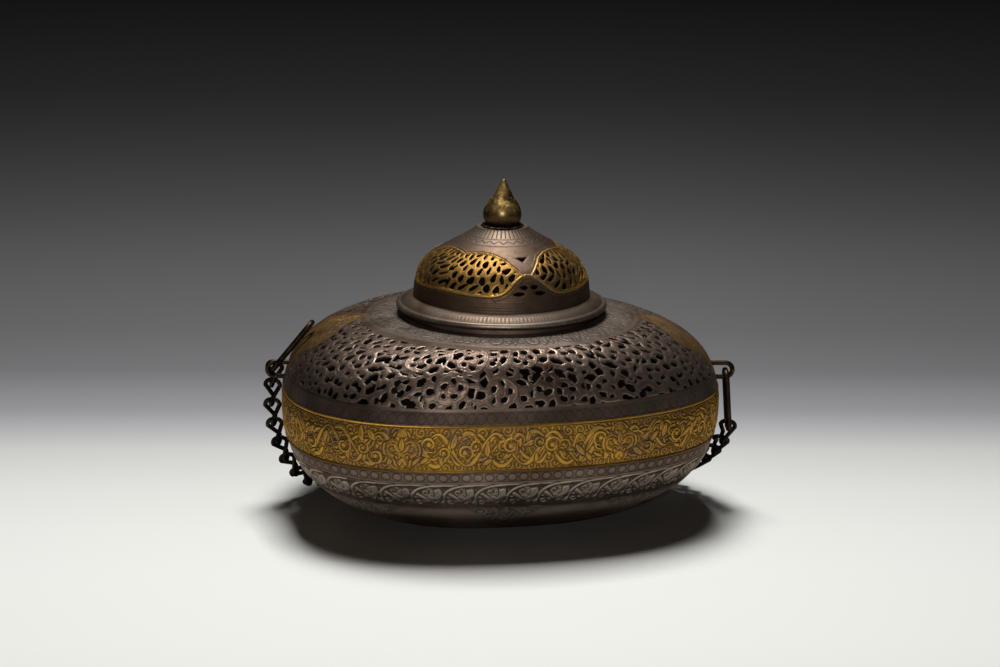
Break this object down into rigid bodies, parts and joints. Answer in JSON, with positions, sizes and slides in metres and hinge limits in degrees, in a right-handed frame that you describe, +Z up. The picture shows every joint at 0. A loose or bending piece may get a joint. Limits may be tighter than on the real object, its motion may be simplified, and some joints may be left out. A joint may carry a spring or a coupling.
{
  "type": "lidded begging bowl with chain",
  "caption": "Egg-shaped steel begging bowl with a pierced gilt shoulder, a lift-off domed lid with a finial, and a twisted-link carrying chain hung from an eye at each end.",
  "frame": {"origin": "on the table under the mouth's centre, in the plane of the flat foot", "axes": "+Z up, +X towards the bowl's narrower end, -Y towards the front"},
  "size_m": [0.2403, 0.1958, 0.1706],
  "materials": {
    "patinated_steel": "dark patinated steel with gilt fields",
    "brass": "worn polished brass",
    "bronze_wire": "browned wire",
    "iron": "dark iron wire"
  },
  "bodies": {
    "bowl": {"lower_bowl": "patinated_steel", "pierced_shell": "patinated_steel", "mouth_ring": "patinated_steel", "left_staple": "bronze_wire", "right_staple": "bronze_wire", "left_rove": "iron", "right_rove": "iron"},
    "lid": {"lid_dome": "patinated_steel", "lid_brim": "patinated_steel", "lid_sleeve": "patinated_steel", "finial": "brass", "finial_ring": "brass", "finial_washer": "iron"},
    "left_long_link": {"left_long_link": "bronze_wire"},
    "right_long_link": {"right_long_link": "bronze_wire"},
    "left_link_01": {"left_link_01": "iron"},
    "left_link_02": {"left_link_02": "iron"},
    "left_link_03": {"left_link_03": "iron"},
    "left_link_04": {"left_link_04": "iron"},
    "left_link_05": {"left_link_05": "iron"},
    "left_link_06": {"left_link_06": "iron"},
    "left_link_07": {"left_link_07": "iron"},
    "left_link_08": {"left_link_08": "iron"},
    "left_link_09": {"left_link_09": "iron"},
    "left_link_10": {"left_link_10": "iron"},
    "left_link_11": {"left_link_11": "iron"},
    "left_link_12": {"left_link_12": "iron"},
    "left_link_13": {"left_link_13": "iron"},
    "left_link_14": {"left_link_14": "iron"},
    "left_link_15": {"left_link_15": "iron"},
    "left_link_16": {"left_link_16": "iron"},
    "left_link_17": {"left_link_17": "iron"},
    "left_link_18": {"left_link_18": "iron"},
    "left_link_19": {"left_link_19": "iron"},
    "right_link_01": {"right_link_01": "iron"},
    "right_link_02": {"right_link_02": "iron"},
    "right_link_03": {"right_link_03": "iron"},
    "right_link_04": {"right_link_04": "iron"},
    "right_link_05": {"right_link_05": "iron"},
    "right_link_06": {"right_link_06": "iron"},
    "right_link_07": {"right_link_07": "iron"},
    "right_link_08": {"right_link_08": "iron"},
    "right_link_09": {"right_link_09": "iron"},
    "right_link_10": {"right_link_10": "iron"},
    "right_link_11": {"right_link_11": "iron"},
    "right_link_12": {"right_link_12": "iron"},
    "right_link_13": {"right_link_13": "iron"},
    "right_link_14": {"right_link_14": "iron"},
    "right_link_15": {"right_link_15": "iron"},
    "right_link_16": {"right_link_16": "iron"},
    "right_link_17": {"right_link_17": "iron"}
  },
  "joints": [
    {"name": "lid_lift", "type": "slide", "parent": "bowl", "child": "lid", "axis": [0, 0, 1], "range_m": [0, 0.12]},
    {"name": "left_long_link_flip", "type": "hinge", "parent": "bowl", "child": "left_long_link", "pos_m": [-0.11379, 0.00145, 0.0731], "axis": [-0.1082, -0.9903, 0.0876], "range_deg": [0, 70]},
    {"name": "right_long_link_swing", "type": "hinge", "parent": "bowl", "child": "right_long_link", "pos_m": [0.11349, 0, 0.0726], "axis": [1, 0, 0], "range_deg": [0, 18]},
    {"name": "left_link_01_swing", "type": "hinge", "parent": "bowl", "child": "left_link_01", "pos_m": [-0.11303, 0.00323, 0.07598], "axis": [-0.8575, 0, -0.5145], "range_deg": [-8, 0]},
    {"name": "left_link_02_swing", "type": "hinge", "parent": "left_link_01", "child": "left_link_02", "pos_m": [-0.11454, 0.00663, 0.06592], "axis": [0.8575, 0, 0.5145], "range_deg": [0, 24]},
    {"name": "left_link_03_swing", "type": "hinge", "parent": "left_link_02", "child": "left_link_03", "pos_m": [-0.11517, 0.00793, 0.05531], "axis": [-0.8575, 0, -0.5145], "range_deg": [-24, 0]},
    {"name": "left_link_04_swing", "type": "hinge", "parent": "left_link_03", "child": "left_link_04", "pos_m": [-0.11447, 0.00915, 0.04469], "axis": [0.8575, 0, 0.5145], "range_deg": [0, 24]},
    {"name": "left_link_05_swing", "type": "hinge", "parent": "left_link_04", "child": "left_link_05", "pos_m": [-0.11231, 0.01077, 0.03431], "axis": [-0.8575, 0, -0.5145], "range_deg": [-24, 0]},
    {"name": "left_link_06_swing", "type": "hinge", "parent": "left_link_05", "child": "left_link_06", "pos_m": [-0.10893, 0.01336, 0.02446], "axis": [0.8575, 0, 0.5145], "range_deg": [0, 24]},
    {"name": "left_link_07_swing", "type": "hinge", "parent": "left_link_06", "child": "left_link_07", "pos_m": [-0.10427, 0.01744, 0.01567], "axis": [-0.8575, 0, -0.5145], "range_deg": [-24, 0]},
    {"name": "left_link_08_swing", "type": "hinge", "parent": "left_link_07", "child": "left_link_08", "pos_m": [-0.09811, 0.02305, 0.00883], "axis": [0.8575, 0, 0.5145], "range_deg": [0, 24]},
    {"name": "left_link_09_swing", "type": "hinge", "parent": "left_link_08", "child": "left_link_09", "pos_m": [-0.09089, 0.03024, 0.00538], "axis": [-0.8575, 0, -0.5145], "range_deg": [-24, 0]},
    {"name": "left_link_10_swing", "type": "hinge", "parent": "left_link_09", "child": "left_link_10", "pos_m": [-0.08501, 0.03914, 0.00423], "axis": [0.7405, -0.2985, 0.6022], "range_deg": [0, 24]},
    {"name": "left_link_11_swing", "type": "hinge", "parent": "left_link_10", "child": "left_link_11", "pos_m": [-0.08077, 0.04899, 0.00417], "axis": [-0.785, 0.1691, -0.5959], "range_deg": [-24, 0]},
    {"name": "left_link_12_swing", "type": "hinge", "parent": "left_link_11", "child": "left_link_12", "pos_m": [-0.07873, 0.05951, 0.00418], "axis": [0.7467, -0.3078, 0.5896], "range_deg": [0, 24]},
    {"name": "left_link_13_swing", "type": "hinge", "parent": "left_link_12", "child": "left_link_13", "pos_m": [-0.07485, 0.0695, 0.0042], "axis": [-0.6898, 0.4277, -0.5842], "range_deg": [-24, 0]},
    {"name": "left_link_14_swing", "type": "hinge", "parent": "left_link_13", "child": "left_link_14", "pos_m": [-0.06945, 0.07879, 0.0042], "axis": [0.5699, -0.5896, 0.5723], "range_deg": [0, 24]},
    {"name": "left_link_15_swing", "type": "hinge", "parent": "left_link_14", "child": "left_link_15", "pos_m": [-0.06191, 0.08642, 0.0042], "axis": [-0.4444, 0.6955, -0.5646], "range_deg": [-24, 0]},
    {"name": "left_link_16_swing", "type": "hinge", "parent": "left_link_15", "child": "left_link_16", "pos_m": [-0.05297, 0.09233, 0.0042], "axis": [0.3493, -0.7504, 0.5612], "range_deg": [0, 24]},
    {"name": "left_link_17_swing", "type": "hinge", "parent": "left_link_16", "child": "left_link_17", "pos_m": [-0.04333, 0.097, 0.0042], "axis": [-0.2499, 0.7914, -0.5579], "range_deg": [-24, 0]},
    {"name": "left_link_18_swing", "type": "hinge", "parent": "left_link_17", "child": "left_link_18", "pos_m": [-0.03316, 0.10035, 0.0042], "axis": [0.1608, -0.8158, 0.5556], "range_deg": [0, 24]},
    {"name": "left_link_19_swing", "type": "hinge", "parent": "left_link_18", "child": "left_link_19", "pos_m": [-0.02268, 0.10253, 0.0042], "axis": [-0.0869, 0.828, -0.554], "range_deg": [-24, 0]},
    {"name": "right_link_01_swing", "type": "hinge", "parent": "right_long_link", "child": "right_link_01", "pos_m": [0.11661, 0.00238, 0.04562], "axis": [-0.9628, -0.0172, 0.2698], "range_deg": [-24, 0]},
    {"name": "right_link_02_swing", "type": "hinge", "parent": "right_link_01", "child": "right_link_02", "pos_m": [0.11394, 0.00652, 0.03603], "axis": [0.9415, 0.0483, -0.3336], "range_deg": [0, 24]},
    {"name": "right_link_03_swing", "type": "hinge", "parent": "right_link_02", "child": "right_link_03", "pos_m": [0.11117, 0.01404, 0.02893], "axis": [-0.9101, -0.1176, 0.3974], "range_deg": [-24, 0]},
    {"name": "right_link_04_swing", "type": "hinge", "parent": "right_link_03", "child": "right_link_04", "pos_m": [0.10737, 0.02138, 0.02212], "axis": [0.8725, 0.1813, -0.4538], "range_deg": [0, 24]},
    {"name": "right_link_05_swing", "type": "hinge", "parent": "right_link_04", "child": "right_link_05", "pos_m": [0.10285, 0.02911, 0.01624], "axis": [-0.8258, -0.2521, 0.5044], "range_deg": [-24, 0]},
    {"name": "right_link_06_swing", "type": "hinge", "parent": "right_link_05", "child": "right_link_06", "pos_m": [0.09765, 0.03729, 0.01168], "axis": [0.7992, 0.2919, -0.5254], "range_deg": [0, 24]},
    {"name": "right_link_07_swing", "type": "hinge", "parent": "right_link_06", "child": "right_link_07", "pos_m": [0.09225, 0.04584, 0.00817], "axis": [-0.7874, -0.3105, 0.5326], "range_deg": [-24, 0]},
    {"name": "right_link_08_swing", "type": "hinge", "parent": "right_link_07", "child": "right_link_08", "pos_m": [0.0872, 0.055, 0.00587], "axis": [0.7505, 0.3723, -0.5461], "range_deg": [0, 24]},
    {"name": "right_link_09_swing", "type": "hinge", "parent": "right_link_08", "child": "right_link_09", "pos_m": [0.08182, 0.06415, 0.00449], "axis": [-0.6975, -0.453, 0.5552], "range_deg": [-24, 0]},
    {"name": "right_link_10_swing", "type": "hinge", "parent": "right_link_09", "child": "right_link_10", "pos_m": [0.07581, 0.073, 0.00396], "axis": [0.6476, 0.5202, -0.5568], "range_deg": [0, 24]},
    {"name": "right_link_11_swing", "type": "hinge", "parent": "right_link_10", "child": "right_link_11", "pos_m": [0.06935, 0.08156, 0.00411], "axis": [-0.5457, -0.6338, 0.5482], "range_deg": [-24, 0]},
    {"name": "right_link_12_swing", "type": "hinge", "parent": "right_link_11", "child": "right_link_12", "pos_m": [0.0614, 0.08875, 0.00419], "axis": [0.4375, 0.7174, -0.5422], "range_deg": [0, 24]},
    {"name": "right_link_13_swing", "type": "hinge", "parent": "right_link_12", "child": "right_link_13", "pos_m": [0.05235, 0.0945, 0.00419], "axis": [-0.3149, -0.7826, 0.537], "range_deg": [-24, 0]},
    {"name": "right_link_14_swing", "type": "hinge", "parent": "right_link_13", "child": "right_link_14", "pos_m": [0.04249, 0.09867, 0.0042], "axis": [0.1969, 0.8231, -0.5327], "range_deg": [0, 24]},
    {"name": "right_link_15_swing", "type": "hinge", "parent": "right_link_14", "child": "right_link_15", "pos_m": [0.0321, 0.10128, 0.0042], "axis": [-0.1166, -0.8394, 0.5309], "range_deg": [-24, 0]},
    {"name": "right_link_16_swing", "type": "hinge", "parent": "right_link_15", "child": "right_link_16", "pos_m": [0.02151, 0.10283, 0.0042], "axis": [0.0674, 0.8451, -0.5303], "range_deg": [0, 24]},
    {"name": "right_link_17_swing", "type": "hinge", "parent": "right_link_16", "child": "right_link_17", "pos_m": [0.01085, 0.10374, 0.0042], "axis": [-0.0243, -0.8478, 0.5298], "range_deg": [-24, 0]}
  ]
}
